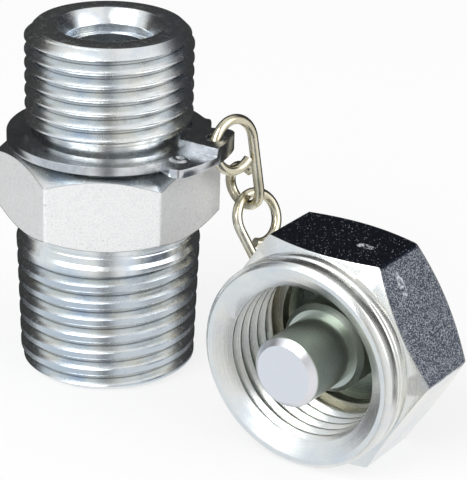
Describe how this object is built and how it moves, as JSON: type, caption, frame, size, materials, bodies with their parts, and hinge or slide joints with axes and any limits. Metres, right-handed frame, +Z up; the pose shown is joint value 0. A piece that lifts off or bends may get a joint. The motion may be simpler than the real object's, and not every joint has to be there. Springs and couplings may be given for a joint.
{
  "type": "hydraulic test point coupling",
  "caption": "Hydraulic test point coupling: threaded body with hexagon and spring-loaded valve, a loose retaining ring, a wire link chain and its hexagon screw cap.",
  "frame": {"origin": "centre of the port stud's end face, on the surface that the coupling stands on", "axes": "+Z up along the body's axis towards the test end; +X is to the side where the chain hangs; -Y faces the viewer"},
  "size_m": [0.033, 0.0273, 0.0257],
  "materials": {
    "zinc_plated_steel": "bright zinc plating",
    "speckled_zinc": "bright zinc plating, finely speckled on the flats",
    "ring_steel": "bright plated sheet",
    "chain_wire": "warm nickel-coloured wire",
    "pin_steel": "satin",
    "spring_steel": "plain",
    "valve_steel": "fine turned",
    "seal_rubber": "matte black",
    "backup_plastic": "matte"
  },
  "bodies": {
    "coupling": {"coupling_body": "zinc_plated_steel", "stem_seal": "seal_rubber", "backup_ring": "backup_plastic", "spring_seat": "valve_steel", "snap_ring": "spring_steel", "valve_spring": "spring_steel"},
    "poppet": {"valve_poppet": "valve_steel", "poppet_seal": "seal_rubber"},
    "ring": {"retaining_ring": "ring_steel"},
    "link_1": {"chain_link_1": "chain_wire"},
    "link_2": {"chain_link_2": "chain_wire"},
    "cap_link": {"cap_link": "chain_wire"},
    "cap": {"cap_nut": "speckled_zinc", "cap_pin": "pin_steel"}
  },
  "joints": [
    {"name": "poppet_slide", "type": "slide", "parent": "coupling", "child": "poppet", "axis": [0, 0, -1], "range_m": [0, 0.0018], "stiffness_N_per_m": 150, "springref_m": -0.002, "deforming": ["valve_spring"]},
    {"name": "ring_spin", "type": "hinge", "parent": "coupling", "child": "ring", "pos_m": [0, 0, 0.01751], "axis": [0, 0, 1], "continuous": true},
    {"name": "link_1_swing", "type": "hinge", "parent": "ring", "child": "link_1", "pos_m": [0.00896, -0.00139, 0.01748], "axis": [0.6877, -0.7122, 0.1409], "range_deg": [0, 100]},
    {"name": "link_2_swing", "type": "hinge", "parent": "link_1", "child": "link_2", "pos_m": [0.0103, 0.0004, 0.01211], "axis": [-0.6262, 0.674, -0.3918], "range_deg": [-25, 25]},
    {"name": "cap_link_swing", "type": "hinge", "parent": "link_2", "child": "cap_link", "pos_m": [0.01352, -0.00336, 0.00779], "axis": [0.1559, 0.205, -0.9663], "range_deg": [-25, 25]},
    {"name": "cap_spin", "type": "hinge", "parent": "cap_link", "child": "cap", "pos_m": [0.01852, -0.00851, 0.0075], "axis": [0.5592, 0.829, 0], "continuous": true}
  ]
}
